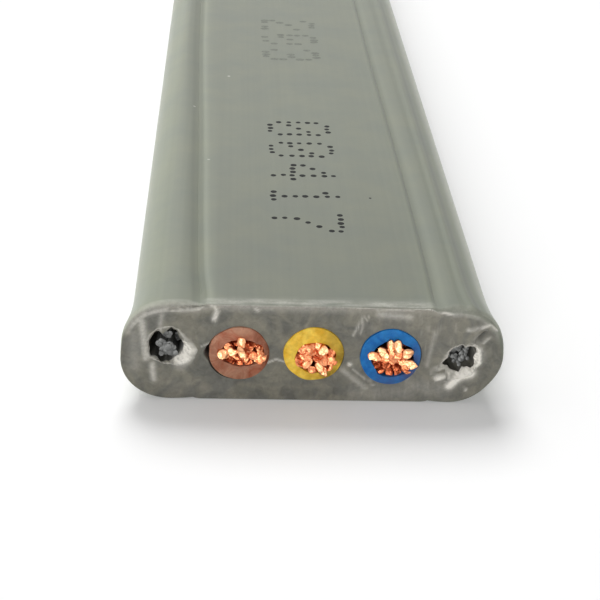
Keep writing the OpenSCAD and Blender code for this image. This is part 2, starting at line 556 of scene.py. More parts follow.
class Net:
    """Points that are shared by their place, and the faces between rows of them."""

    def __init__(self):
        self.index, self.points, self.faces = {}, [], []
        self.marks = {"cut": [], "torn": [], "painted_light_and_shade": []}

    # worn carries the skin's painted light and shade, for the material to read
    def point(self, key, place, cut=0.0, torn=0.0, worn=0.0):
        """The point with this key, made at this place where there is none yet."""
        key = tuple(round(v * 1e7) for v in key)
        if key not in self.index:
            self.index[key] = len(self.points)
            self.points.append(place)
            for values, value in zip(self.marks.values(), (cut, torn, worn)):
                values.append(value)
        return self.index[key]

    def strips(self, rows):
        """Faces between closed rows of as many points, each row with the next."""
        for row, other in zip(rows, rows[1:]):
            for i in range(len(row)):
                j = (i + 1) % len(row)
                face = list(dict.fromkeys((row[i], row[j], other[j], other[i])))
                if len(face) > 2:
                    self.faces.append(face)


# Rows of the sheath's mesh, as shares of the way: down a cell's side from the skin, out from a hole to the
# skin at the cut end and at the far end, up a torn mouth's wall and across its lip
EDGE_STEPS = (0.0, 0.04, 0.08, 0.13, 0.2, 0.28, 0.38, 0.5)
FACE_RINGS = (0.0, 0.1, 0.2, 0.3, 0.4, 0.5, 0.62, 0.72, 0.8, 0.87, 0.92, 0.96, 1.0)
FAR_RINGS = (0.5, 0.85, 0.95, 1.0)
WALL_RINGS = (0.0, 0.25, 0.5, 0.65, 0.8, 0.92)
LIP_RINGS = (0.0, 0.12, 0.25, 0.4, 0.55, 0.7, 0.85)
# Depths from the cut end of the rows along the skin and along the bores
SKIN_DEPTHS = [d * MM for d in (
    0.05, 0.1, 0.16, 0.24, 0.34, 0.46, 0.6, 0.8, 1.1, 1.5, 2, 2.6, 3.3, 4.2, 5.5, 7, 9, 12, 16, 21, 27, 34,
    42, 52, 64, 78, 94, 110, 122,
)] + [LENGTH - d * MM for d in (2, 0.3, 0.15, 0.08, 0.0)]
BORE_DEPTHS = [d * MM for d in (0.15, 0.4, 0.8, 1.3, 2, 3, 4, 8, 25, 70)] + [LENGTH - 10 * MM, LENGTH]
# How deep a torn mouth is, and where the first two rows of the rope's socket behind it start
MOUTH_DEPTH, SOCKET_START, SOCKET_NEXT = 1.5 * MM, 2.4 * MM, 2.9 * MM
# The least width of a torn lip, how far the socket is undercut behind it, and how pale the face is beside it
LIP_LEAST, UNDERCUT = 0.07 * MM, 0.2 * MM
LIP_WHITE = {"left": 0.25, "right": 0.12}
FAR_ROUNDING = 0.1 * MM
# The cores' cells end here, beside the grooves, and the ropes' cells begin
CELL_EDGE = 5.9 * MM
TOP_STEPS, RIB_STEPS, SIDE_STEPS = 28, 88, 28


def spaced(start, end, steps):
    """Evenly spaced values from start to end."""
    return [start + (end - start) * i / steps for i in range(steps + 1)]


def side_line(x, up):
    """Heights down a cell's straight side, closer together near the skin."""
    h = section_height(x)
    near = [h - h * 0.85 * e for e in EDGE_STEPS]
    heights = near + spaced(near[-1], -near[-1], SIDE_STEPS)[1:-1] + [-z for z in reversed(near)]
    return [(x, z) for z in (reversed(heights) if up else heights)]


def core_cell(left, right):
    """Outline of the part of the section round one core, all the way round."""
    top = [(x, section_height(x)) for x in spaced(left, right, TOP_STEPS)]
    bottom = [(x, -section_height(x)) for x in spaced(right, left, TOP_STEPS)]
    return top[:-1] + side_line(right, False)[:-1] + bottom[:-1] + side_line(left, True)[:-1]


def rope_cell(side):
    """Outline of the part of the section round one rope: the rib and its grooves."""
    s = sheath_settings()
    crest, lift = rib_x(), HALF_THICK - s.rib_radius
    top = [(x, section_height(x)) for x in spaced(CELL_EDGE, crest, TOP_STEPS)]
    quarter = s.rib_radius * math.pi / 2
    round_edge = []
    for run in spaced(0.0, 2 * quarter + 2 * lift, RIB_STEPS)[1:-1]:
        if run <= quarter:
            a = math.pi / 2 - run / s.rib_radius
            round_edge.append((crest + s.rib_radius * math.cos(a), lift + s.rib_radius * math.sin(a)))
        elif run < quarter + 2 * lift:
            round_edge.append((HALF_WIDTH, lift - (run - quarter)))
        else:
            a = -(run - quarter - 2 * lift) / s.rib_radius
            round_edge.append((crest + s.rib_radius * math.cos(a), -lift + s.rib_radius * math.sin(a)))
    bottom = [(x, -z) for x, z in reversed(top)]
    loop = top + round_edge + bottom[:-1] + side_line(CELL_EDGE, True)[:-1]
    return [(side * x, z) for x, z in loop]


def reach(marks, angle, wobble):
    """Distance to a closed outline in this direction, read between its marks, with a little raggedness."""
    degrees = math.degrees(angle) % 360
    ends = sorted((a % 360, r) for a, r in marks)
    ends = [(ends[-1][0] - 360, ends[-1][1]), *ends, (ends[0][0] + 360, ends[0][1])]
    for (a0, r0), (a1, r1) in zip(ends, ends[1:]):
        if a0 <= degrees <= a1:
            along = (degrees - a0) / (a1 - a0)
            rag = noise.noise(Vector((math.cos(angle) * 6, math.sin(angle) * 6, wobble)))
            return (r0 + (r1 - r0) * along + 0.04 * rag) * MM


def hole_reach(rope, angle):
    """How far the edge of a torn mouth's hole is from its middle."""
    return reach(MOUTH_HOLES[rope], angle, 2.0)


def lip_reach(rope, angle):
    """How far the outer edge of a torn mouth's lip is from its middle."""
    return max(reach(MOUTH_LIPS[rope], angle, 5.0), hole_reach(rope, angle) + LIP_LEAST)


def mouth_zone(rope, angle):
    """Where a torn mouth is stretched white: 1 in the middle of the tear."""
    turn = half_turn(math.degrees(angle))
    if rope == "left":
        return soft(-92, -66, turn) * soft(40, 12, turn)
    return soft(-160, -138, turn) * soft(75, 20, turn)


def cavity(rope, angle):
    """How far the torn socket reaches behind its hole: undercut, but not where the lip slopes in."""
    zone = mouth_zone(rope, angle) if rope == "left" else 0.0
    return max(SOCKET_RADIUS, mixed(hole_reach(rope, angle) + UNDERCUT, SOCKET_RADIUS, zone))


def rope_place(rope, shifts, depth):
    """Middle of a rope, or of its torn mouth, at this depth, in the section."""
    f = pressed(depth)
    shift_x, shift_z = shifts[rope]
    return ROPE_X[rope] + shift_x * MM * f, shift_z * MM * f


def mouth_point(net, rope, angle, u, v):
    """A point of a torn mouth. u runs up the wall to the hole's edge, then v across the lip."""
    hole, lip, zone = hole_reach(rope, angle), lip_reach(rope, angle), mouth_zone(rope, angle)
    on_left, turn = rope == "left", half_turn(math.degrees(angle))
    below = soft(-165, -140, turn) * soft(-15, -45, turn)
    # How far in the hole's edge lies
    sink = (0.04 + 0.36 * zone if on_left else 0.3 * below - 0.06 * (1 - below)) * MM
    rough = noise.noise(Vector((math.cos(angle) * 7, math.sin(angle) * 7, 3 * v + 2 * u + 9 * ROPE_X[rope])))
    if u < 1:
        # The wall, undercut at its foot and whiter towards the hole's edge
        back = cavity(rope, angle)
        r = back + (hole - back) * soft(0.55, 1.0, u)
        d = sink + (MOUTH_DEPTH - sink) * (1 - u) ** 1.5
        white = (0.6 if on_left else 0.1) * zone * soft(0.2, 1.0, u)
    else:
        # The lip, rough between its edges and white where it is stretched
        r = hole + (lip - hole) * v
        d = sink * (1 - v) + 0.07 * MM * rough * v * (1 - v) * 4
        # On the left, the stretched white is brightest near -42 degrees: a painted highlight
        if on_left:
            edge, even = bell(v - 0.85, 0.3), 0.75 + 0.4 * bell(turn + 42, 24)
        else:
            edge, even = bell(v - 0.15, 0.3), 0.22 + 0.5 * soft(-85, -60, turn) * soft(85, 55, turn)
        white = max(zone * (even + 0.7 * rough), 0.4 * edge) * (1 - soft(0.75, 1.0, v) * 0.5)
    cx, cz = rope_place(rope, MOUTH_SHIFT, max(d, 0.0))
    x, z = cx + r * math.cos(angle), cz + r * math.sin(angle)
    d += face_depth(x, z) * u
    white = min(max(white, face_mark(x, z) * soft(0.75, 1.0, u)), 1.0)
    key = (ROPE_X[rope] + r * math.cos(angle), r * math.sin(angle), -1.0 - u - v)
    return net.point(key, (x, CUT_Y + d, MID_Z + z), 1.0, white)


def spread_place(here, depth, aside):
    """Where the cutter has put a point of the section at this depth."""
    return flared(here.x, here.y, depth) + aside, CUT_Y + depth, MID_Z + filled(here.x, here.y, depth)


def face_point(net, x, z, white=0.0):
    """A point of the cut face: uneven, rounded over at the skin, spread by the cutter."""
    gap, out = way_out(x, z)
    gap = max(gap, 0.0)
    r = rim_radius(x, z)
    here, cut = Vector((x, z)), 1.0
    spread_x = flared(x, z, 0.0)
    d = face_depth(spread_x, z) * soft(0.0, 2 * r, gap) + crease(spread_x, z)
    white = max(white, face_mark(spread_x, z), bruised(x, z, gap))
    if gap < r:
        turn, across = math.pi / 4 * (1 - gap / r), 0.5 + 0.5 * gap / r
        here = here + out * (gap - r * (1 - math.sin(turn)))
        d += r * (1 - math.cos(turn))
        cut = cut_share(x, across)
        white = max(white, rim_white(x, z, across))
    aside = drifted(x, z, 0.0) * soft_mm(1.2, 0.0, gap)
    return net.point((x, z, 0.0), spread_place(here, d, aside), cut, white)


def skin_point(net, x, z, station):
    """A point of the outer skin, rounded over at both ends."""
    out = way_out(x, z)[1]
    here, d, cut, white = Vector((x, z)) + out * die_line(x, z), station, 0.0, strained(x, z, station)
    for end, r in ((station, rim_radius(x, z)), (LENGTH - station, FAR_ROUNDING)):
        if end < r:
            turn, across = math.pi / 4 * (1 + end / r), 0.5 - 0.5 * end / r
            here = here - out * (r * (1 - math.sin(turn)))
            moved = r * (1 - math.cos(turn))
            d = moved if end == station else LENGTH - moved
            cut = cut_share(x, across)
            white = max(white, rim_white(x, z, across)) if end == station else 0.0
    return net.point((x, z, station), spread_place(here, d, drifted(x, z, d)), cut, white, painted_light_and_shade(x, d))


def far_point(net, x, z):
    """A point of the plain far end."""
    if way_out(x, z)[0] < 1e-8:
        return skin_point(net, x, z, LENGTH)
    return net.point((x, z, LENGTH), (x, FAR_Y, MID_Z + z), 1.0)


# How far out of round the cutter left the cores, in parts of their radius, and how closely the lumps follow
CORE_UNEVEN, CORE_LUMPS = 0.03, 1.6


def uneven(core, angle, f):
    """How far out of round a core's outside is in this direction."""
    around = Vector((math.cos(angle) * CORE_LUMPS, math.sin(angle) * CORE_LUMPS, CORE_X[core] * 700))
    return 1 + CORE_UNEVEN * f * noise.noise(around)


def core_ring(core, angles, depth):
    """Points of a core's bore at this depth, in the section: pulled away from the insulation on one side."""
    (wide, high), (shift_x, shift_z), _, _ = CORE_PRESS[core]
    f = pressed(depth)
    ring = []
    for a in angles:
        pull = f * MM * max(
            gap * max(0.0, math.cos(a - math.radians(away))) ** narrow
            for away, gap, narrow in CORE_GAPS[core]
        )
        r = INSULATION_RADIUS * uneven(core, a, f) + CORE_PLAY + pull
        ring.append((
            CORE_X[core] + shift_x * MM * f + r * (1 + (wide - 1) * f) * math.cos(a),
            shift_z * MM * f + r * (1 + (high - 1) * f) * math.sin(a),
        ))
    return ring


def circle(x, z, radius, angles):
    """Points of a circle in the section."""
    return [(x + radius * math.cos(a), z + radius * math.sin(a)) for a in angles]


def between(hole, loop, share):
    """The ring that lies this share of the way from a hole out to its cell's outline."""
    return [(hx + (x - hx) * share, hz + (z - hz) * share) for (hx, hz), (x, z) in zip(hole, loop)]


def bore_row(net, ring, depth):
    """The points of a ring in a bore at this depth."""
    return [net.point((x, z, depth), (x, CUT_Y + depth, MID_Z + z), 1.0) for x, z in ring]


def far_rows(net, hole, loop):
    """Rows of points across the far end, from a bore out to the skin."""
    return [[far_point(net, x, z) for x, z in between(hole, loop, t)] for t in FAR_RINGS]


def core_seat(net, core, left, right):
    """The part of the sheath round one core: cut face, bore and far end."""
    loop = core_cell(left, right)
    angles = [math.atan2(z, x - CORE_X[core]) for x, z in loop]
    hole = core_ring(core, angles, 0.0)
    face = [[face_point(net, x, z) for x, z in between(hole, loop, t)] for t in FACE_RINGS]
    bore = [bore_row(net, core_ring(core, angles, d), d) for d in BORE_DEPTHS]
    far = far_rows(net, core_ring(core, angles, LENGTH), loop)
    net.strips(face)
    net.strips([face[0], *bore, *far])


def rope_seat(net, rope, side):
    """The part of the sheath round one rope: torn mouth, cut face, socket and far end."""
    loop = rope_cell(side)
    cx, cz = rope_place(rope, MOUTH_SHIFT, 0.0)
    # The lip is drawn where the flare will carry it
    cx -= flared(cx, cz, 0.0) - cx
    angles = [math.atan2(z - cz, x - cx) for x, z in loop]
    face = [[mouth_point(net, rope, a, u, 0.0) for a in angles] for u in WALL_RINGS]
    face += [[mouth_point(net, rope, a, 1.0, v) for a in angles] for v in LIP_RINGS]
    reaches = [lip_reach(rope, a) for a in angles]
    lip = [(cx + r * math.cos(a), cz + r * math.sin(a)) for r, a in zip(reaches, angles)]
    whites = [LIP_WHITE[rope] * mouth_zone(rope, a) for a in angles]
    for t in FACE_RINGS:
        fade = 1 - soft(0.0, 0.25, t)
        face.append([face_point(net, x, z, w * fade) for (x, z), w in zip(between(lip, loop, t), whites)])
    socket = []
    for d in [SOCKET_START] + [b for b in BORE_DEPTHS if b > SOCKET_NEXT]:
        ring = circle(*rope_place(rope, ROPE_SHIFT, d), SOCKET_RADIUS, angles)
        socket.append(bore_row(net, ring, d))
    far = far_rows(net, circle(ROPE_X[rope], 0.0, SOCKET_RADIUS, angles), loop)
    net.strips(face)
    net.strips([face[0], *socket, *far])


def skin_rows(net, bounds):
    """Rows of points round the skin, from the cut end to the far end."""
    right = rope_cell(1)[:2 * TOP_STEPS + RIB_STEPS + 1]
    left = [(-x, z) for x, z in reversed(right)]
    top = []
    for start, end in zip(bounds, bounds[1:]):
        top += [(x, section_height(x)) for x in spaced(start, end, TOP_STEPS)][:-1]
    bottom = [(-x, -z) for x, z in top]
    skin = top + right[:-1] + bottom + left[:-1]
    rows = [[face_point(net, x, z) for x, z in skin]]
    return rows + [[skin_point(net, x, z, d) for x, z in skin] for d in SKIN_DEPTHS]


def build_sheath():
    """The sheath as one closed mesh: cut face, skin, bores and far end."""
    net = Net()
    middles = [(CORE_X[a] + CORE_X[b]) / 2 for a, b in zip(CORES, CORES[1:])]
    bounds = [-CELL_EDGE, *middles, CELL_EDGE]
    for core, left, right in zip(CORES, bounds, bounds[1:]):
        core_seat(net, core, left, right)
    for rope, side in zip(ROPES, (-1, 1)):
        rope_seat(net, rope, side)
    net.strips(skin_rows(net, bounds))
    return net


def sheath_material():
    """Soft PVC, extruded through a die: satin, faintly lined, pale where it is stretched or torn."""
    s = sheath_settings()
    material, tree, place = new_material("extruded_grey_pvc")
    base, dark, pale = linear(s.colour), linear(s.cut_colour), linear(s.torn_colour)
    cut = add_node(tree, "Attribute", attribute_name="cut").outputs["Fac"]
    torn = add_node(tree, "Attribute", attribute_name="torn").outputs["Fac"]
    # worn carries the skin's painted light and shade
    worn = add_node(tree, "Attribute", attribute_name="painted_light_and_shade").outputs["Fac"]

    # Clouds of about 3 mm in the skin, and die lines about 0.3 mm apart that run along the cable
    clouds = add_node(tree, "TexNoise", {"Vector": place, "Scale": 330.0, "Detail": 3.0, "Roughness": 0.6})
    along = add_node(tree, "Mapping", {"Vector": place, "Scale": (3300.0, 12.0, 3300.0)})
    lines = add_node(tree, "TexNoise", {"Vector": along, "Scale": 1.0, "Detail": 2.0})
    skin = add_node(tree, "ValToRGB", {"Fac": clouds}, (
        (0.3, tinted(base, (0.93, 0.95, 0.97))),
        (0.7, tinted(base, (1.06, 1.05, 1.0))),
    ))
    skin = add_node(tree, "MixRGB", {"Fac": 0.06, "Color1": skin, "Color2": lines}, blend_type="OVERLAY")
    # Painted shade darkens the skin in the grooves, and painted light makes the ribs and shoulders paler
    shade = add_node(tree, "MapRange", {
        "Value": worn, "From Min": -1.0, "From Max": 4.0, "To Min": 0.78, "To Max": 1.88,
    })
    skin = add_node(tree, "MixRGB", {"Fac": 1.0, "Color1": skin, "Color2": shade}, blend_type="MULTIPLY")

    # Specks of dust, about 0.1 mm across and 3 mm apart, in some places only
    dust = add_node(tree, "TexVoronoi", {"Vector": place, "Scale": 330.0})
    speck = add_node(tree, "MapRange", {"Value": dust, "From Min": 0.045, "From Max": 0.02})
    chosen = add_node(tree, "Math", {0: dust.outputs["Color"], 1: 0.6}, operation="GREATER_THAN")
    speck = add_node(tree, "Math", {0: speck, 1: chosen}, operation="MULTIPLY")
    speck = add_node(tree, "Math", {0: speck, 1: 0.35}, operation="MULTIPLY")
    skin = add_node(tree, "MixRGB", {"Fac": speck, "Color1": skin, "Color2": pale})

    # Smears of about 1.5 mm on the cut face, mottling of about 0.4 mm, and torn PVC's grain of about 0.15 mm
    smears_and_painted_shade = add_node(tree, "TexNoise", {"Vector": place, "Scale": 700.0, "Detail": 3.0, "Distortion": 1.2})
    mottle = add_node(tree, "TexNoise", {
        "Vector": place, "Scale": 2400.0, "Detail": 4.0, "Roughness": 0.65, "Distortion": 0.8,
    })
    grain = add_node(tree, "TexNoise", {"Vector": place, "Scale": 6000.0, "Detail": 3.0, "Roughness": 0.65})
    face = add_node(tree, "ValToRGB", {"Fac": smears_and_painted_shade}, (
        (0.38, tinted(dark, (0.83, 0.84, 0.87))),
        (0.62, tinted(dark, (1.21, 1.18, 1.13))),
    ))
    tone = add_node(tree, "MapRange", {
        "Value": mottle, "From Min": 0.3, "From Max": 0.7, "To Min": 0.8, "To Max": 1.2,
    })
    face = add_node(tree, "MixRGB", {"Fac": 1.0, "Color1": face, "Color2": tone}, blend_type="MULTIPLY")

    # Short slanting scratches, about 0.2 mm apart, only where the cutter left the face rough on the right
    across = add_node(tree, "SeparateXYZ", {"Vector": place})
    rough = add_node(tree, "MapRange", {"Value": across, "From Min": 0.5 * MM, "From Max": 4 * MM})
    smooth = add_node(tree, "MapRange", {"Value": across, "From Min": 9.4 * MM, "From Max": 8.4 * MM})
    rough = add_node(tree, "Math", {0: rough, 1: smooth}, operation="MULTIPLY")
    slant = add_node(tree, "Mapping", {
        "Vector": place, "Rotation": (0.0, -0.9, 0.0), "Scale": (4200.0, 500.0, 900.0),
    })
    scratch = add_node(tree, "TexNoise", {"Vector": slant, "Scale": 1.0, "Detail": 2.0})
    scratch = add_node(tree, "MapRange", {
        "Value": scratch, "From Min": 0.55, "From Max": 0.75, "To Max": 0.08,
    })
    scratch = add_node(tree, "Math", {0: scratch, 1: rough}, operation="MULTIPLY")
    paler = add_node(tree, "Math", {0: rough, 1: 0.03, 2: scratch}, operation="MULTIPLY_ADD")
    face = add_node(tree, "MixRGB", {"Fac": paler, "Color1": face, "Color2": pale})

    both = add_node(tree, "MixRGB", {"Fac": cut, "Color1": skin, "Color2": face})
    frayed = add_node(tree, "MapRange", {
        "Value": grain, "From Min": 0.3, "From Max": 0.65, "To Min": 0.75, "To Max": 1.25,
    })
    frayed = add_node(tree, "Math", {0: torn, 1: frayed}, operation="MULTIPLY", use_clamp=True)
    colour = add_node(tree, "MixRGB", {"Fac": frayed, "Color1": both, "Color2": pale})
    gloss = add_node(tree, "MapRange", {"Value": cut, "To Min": 0.56, "To Max": 0.62})
    fine = add_node(tree, "MixRGB", {"Fac": cut, "Color1": lines, "Color2": mottle})
    bump = add_node(tree, "Bump", {"Height": fine, "Strength": 0.25, "Distance": 0.04 * MM})
    bump = add_node(tree, "Bump", {"Height": grain, "Strength": 0.2, "Distance": 0.02 * MM, "Normal": bump})
    shader = add_node(tree, "BsdfPrincipled", {
        "Base Color": colour, "Roughness": gloss, "IOR": 1.53, "Normal": bump, "Specular IOR Level": 0.25,
        "Sheen Weight": 0.3, "Sheen Roughness": 0.35,
    })
    add_node(tree, "OutputMaterial", {"Surface": shader})
    return material


class CABLE_OT_sheath(bpy.types.Operator):
    """Models the grooved sheath, from its torn cut face to its plain far end"""

    bl_idname = "cable.sheath"
    bl_label = "Sheath"

    def execute(self, context):
        net = build_sheath()
        obj = mesh_piece("sheath_body", net.points, net.faces)
        for name, values in net.marks.items():
            mark(obj, name, values)
        face_outwards(obj)
        smooth_by_angle(obj, 50)
        finish_piece(obj, sheath_material(), "sheath_grey", "sheath")
        return {"FINISHED"}


# The darker clouds of each insulation, in parts of its own red, green and blue,
# and how pale its lighter clouds are
CLOUDS = {"brown": (0.85, 0.52, 0.46), "yellow": (0.9, 0.76, 0.35), "blue": (0.25, 0.62, 0.85)}
PALE = {"brown": 0.02, "yellow": 0.012, "blue": 0.004}
# Painted shade on the end of each insulation, mostly at its right and its bottom: its colour there as sRGB
# hex, then the middle and half-width in degrees, and the strength
PAINTED_RING_SHADES = {
    "brown": ("692e14", ((0, 36, 0.95), (48, 16, 0.55), (270, 40, 0.42), (222, 30, 0.4), (180, 30, 0.25))),
    "yellow": ("927622", ((2, 34, 0.9), (45, 25, 0.6), (305, 25, 1.0), (270, 25, 0.4))),
    "blue": ("45527c", ((320, 32, 0.9), (0, 30, 0.55), (268, 35, 0.5))),
}


def painted_ring_shade(core, angle):
    """How much painted shade darkens the end of a core's insulation in this direction."""
    degrees = math.degrees(angle)
    return max(strength * bell(half_turn(degrees - at), width) for at, width, strength in PAINTED_RING_SHADES[core][1])


def insulation_material(core):
    """PVC pressed round the conductor: even colour, a waxy satin, a little clouded, with painted shade at the
    cut.
    """
    material, tree, place = new_material(f"{core}_pvc_insulation")
    base = linear(getattr(core_settings(), core))
    # Clouds of about 0.7 mm, and smears of about 0.25 mm that the cutter dragged over the end
    clouds = add_node(tree, "TexNoise", {
        "Vector": place, "Scale": 1400.0, "Detail": 4.0, "Roughness": 0.6, "Distortion": 0.8,
    })
    colour = add_node(tree, "ValToRGB", {"Fac": clouds}, (
        (0.32, tinted(base, CLOUDS[core])),
        (0.62, tinted(base, (1.1, 1.1, 1.1), PALE[core])),
    ))
    grain = add_node(tree, "TexNoise", {"Vector": place, "Scale": 4000.0, "Detail": 3.0})
    smear = add_node(tree, "MapRange", {
        "Value": grain, "From Min": 0.35, "From Max": 0.65, "To Min": 0.9, "To Max": 1.08,
    })
    colour = add_node(tree, "MixRGB", {"Fac": 1.0, "Color1": colour, "Color2": smear}, blend_type="MULTIPLY")
    # Painted shade: the cut end turns darker in patches, mostly at its right and bottom
    dark = add_node(tree, "Attribute", attribute_name="painted_ring_shade").outputs["Fac"]
    patchy = add_node(tree, "MapRange", {
        "Value": clouds, "From Min": 0.3, "From Max": 0.7, "To Min": 1.3, "To Max": 0.7,
    })
    dark = add_node(tree, "Math", {0: dark, 1: patchy}, operation="MULTIPLY", use_clamp=True)
    colour = add_node(tree, "MixRGB", {"Fac": dark, "Color1": colour, "Color2": linear(PAINTED_RING_SHADES[core][0])})
    bump = add_node(tree, "Bump", {"Height": grain, "Strength": 0.3, "Distance": 0.03 * MM})
    shader = add_node(tree, "BsdfPrincipled", {
        "Base Color": colour, "Roughness": 0.45, "IOR": 1.53, "Normal": bump, "Subsurface Weight": 0.15,
        "Subsurface Scale": 0.4 * MM, "Specular IOR Level": 0.2,
    })
    add_node(tree, "OutputMaterial", {"Surface": shader})
    return material


def model_bar(radius, sides, ends, depths):
    """A straight bar about the Y axis, as long as the cable, with rings at these depths in millimetres."""
    deselect()
    bpy.ops.mesh.primitive_cylinder_add(
        vertices=sides, radius=radius, depth=LENGTH, end_fill_type=ends, rotation=(math.pi / 2, 0.0, 0.0)
    )
    bar = bpy.context.object
    bpy.ops.object.transform_apply(location=True, rotation=True, scale=True)
    bpy.ops.object.mode_set(mode="EDIT")
    for depth in depths:
        bpy.ops.mesh.select_all(action="SELECT")
        bpy.ops.mesh.bisect(plane_co=(0.0, -LENGTH / 2 + depth * MM, 0.0), plane_no=(0.0, 1.0, 0.0))
    bpy.ops.object.mode_set(mode="OBJECT")
    return bar


def soften_ends(obj, width, segments):
    """Rounds over the sharp edges at a bar's ends, and applies its modifiers."""
    round_over = obj.modifiers.new("round_over", "BEVEL")
    round_over.width, round_over.segments = width, segments
    round_over.limit_method, round_over.angle_limit = "ANGLE", math.radians(60)
    activate(obj)
    for modifier in list(obj.modifiers):
        bpy.ops.object.modifier_apply(modifier=modifier.name)


def take_mesh(obj):
    """The points and faces of a model, which is then removed."""
    model = [v.co.copy() for v in obj.data.vertices], [list(p.vertices) for p in obj.data.polygons]
    bpy.data.objects.remove(obj)
    return model


# Depths of the rings along a tube, in millimetres, and how many sides it has
TUBE_STATIONS, TUBE_SIDES = (0.3, 0.7, 1.2, 1.8, 2.5, 3.3, 4.2, 20, 70), 72


def model_tube():
    """A straight insulation tube about the Y axis, with its wall and softened ends."""
    tube = model_bar(INSULATION_RADIUS, TUBE_SIDES, "NOTHING", TUBE_STATIONS)
    face_outwards(tube)
    wall = tube.modifiers.new("wall", "SOLIDIFY")
    wall.thickness, wall.offset = core_settings().wall, -1.0
    soften_ends(tube, 0.05 * MM, 2)
    return tube


def press_tube(obj, core):
    """Lays a straight tube in its place, pressed at the cut end, and marks where its end gets painted shade.
    """
    (wide, high), (out_x, out_z), (open_wide, open_high), (open_x, open_z) = CORE_PRESS[core]
    middle, seed = INSULATION_RADIUS - core_settings().wall / 2, CORE_X[core] * 900
    smears_and_painted_shade = []
    for v in obj.data.vertices:
        x, y, z = v.co
        d = y + LENGTH / 2
        f, near, angle = pressed(d), soft_mm(0.4, 0.0, d), math.atan2(z, x)
        inner = soft(middle + 0.15 * MM, middle - 0.15 * MM, math.hypot(x, z))
        drag = 1 - inner * near * (0.05 + 0.1 * ripple(x, z, 0.45 * MM, seed + 4.0))
        drag *= mixed(uneven(core, angle, f), 1.0, inner)
        sx = (1 + (mixed(wide, open_wide, inner) - 1) * f) * drag
        sz = (1 + (mixed(high, open_high, inner) - 1) * f) * drag
        mx, mz = mixed(out_x, open_x, inner) * MM * f, mixed(out_z, open_z, inner) * MM * f
        d += near * MM * (0.07 * ripple(x, z, 0.7 * MM, seed) - 0.04 - 0.05 * inner)
        v.co = (CORE_X[core] + mx + x * sx, CUT_Y + d, MID_Z + mz + z * sz)
        smears_and_painted_shade.append(painted_ring_shade(core, angle) * near)
    mark(obj, "painted_ring_shade", smears_and_painted_shade)


class CABLE_OT_insulation(bpy.types.Operator):
    """Models the three coloured insulation tubes, pressed out of round at the cut end"""

    bl_idname = "cable.insulation"
    bl_label = "Insulation"

    def execute(self, context):
        tube = model_tube()
        for core in CORES:
            obj = tube.copy()
            obj.data = tube.data.copy()
            obj.name = f"{core}_tube"
            context.scene.collection.objects.link(obj)
            press_tube(obj, core)
            smooth_by_angle(obj, 45)
            finish_piece(obj, insulation_material(core), f"insulation_{core}", f"{core}_insulation")
        bpy.data.objects.remove(tube)
        return {"FINISHED"}


def model_wire(radius, sides, depths, end_rings=()):
    """One straight wire about the Y axis, cut into rings, with its ends rounded over."""
    wire = model_bar(radius, sides, "NGON", depths)
    # Rings on the cut end, so that it can be left uneven
    for share in end_rings:
        bpy.ops.object.mode_set(mode="EDIT")
        bpy.ops.mesh.select_mode(type="FACE")
        bpy.ops.mesh.select_all(action="DESELECT")
        bpy.ops.object.mode_set(mode="OBJECT")
        for face in wire.data.polygons:
            face.select = face.normal.y < -0.9 and len(face.vertices) == sides
        bpy.ops.object.mode_set(mode="EDIT")
        bpy.ops.mesh.inset(thickness=radius * share)
        bpy.ops.object.mode_set(mode="OBJECT")
    soften_ends(wire, radius * 0.2, 1)
    return take_mesh(wire)


def copies(name, model, moves):
    """One piece of several copies of a model, each copy with its own move of its points."""
    points, faces = [], []
    for move in moves:
        first = len(points)
        points += [move(p) for p in model[0]]
        faces += [[first + i for i in face] for face in model[1]]
    obj = mesh_piece(name, points, faces)
    smooth_by_angle(obj, 40)
    return obj


def mark_fresh_cut_and_painted_light(obj, model, depth, brightness):
    """Marks each wire's freshly cut end and its painted light and shade: by its own brightness at the cut
    end, evenly at the far end.
    """
    ends = [(soft(depth, 0.0, p.y + LENGTH / 2), soft(depth, 0.0, LENGTH / 2 - p.y)) for p in model[0]]
    mark(obj, "fresh_cut_and_painted_light", [bright * near + far for bright in brightness for near, far in ends])


def lay_turn(depth):
    """Turn of the lay at this depth from the cut end."""
    return 2 * math.pi * (LENGTH - depth) / core_settings().lay


# Depths of the rings along a copper wire, in millimetres
WIRE_STATIONS = (
    0.1, 0.2, 0.32, 0.5, 0.75, 1.05, 1.4, 1.8, 2.3, 3, 4, 6, 9, 13, 18, 24, 31, 38, 46, 54, 62, 70, 78,
    86, 94, 102, 110, 118, 125,
)
# Sides of a copper wire, the insets of the rings on its end, and how far back its fresh cut and painted light
# show
WIRE_SIDES, END_RINGS, FRESH_CUT_AND_PAINTED_DEPTH = 14, (0.4, 0.3), 0.3 * MM
# How far back the cutter has bent and sheared the wires, and the size and depth of the tears on their ends
BEND_DEPTH, SHEAR_DEPTH = 2.2 * MM, 0.7 * MM
TEAR_SIZE, TEAR_DEPTH = 0.2 * MM, 0.09 * MM
# How much thicker their ends are pressed
WIRE_THICKER = 0.08
# How far most copper wires of a core stand out at the cut end, from and to, and how far they are bent,
# in millimetres
COPPER_ENDS = {"brown": (-0.3, 0.05, 0.05), "yellow": (-0.1, 0.12, 0.05), "blue": (-0.25, 0.2, 0.06)}
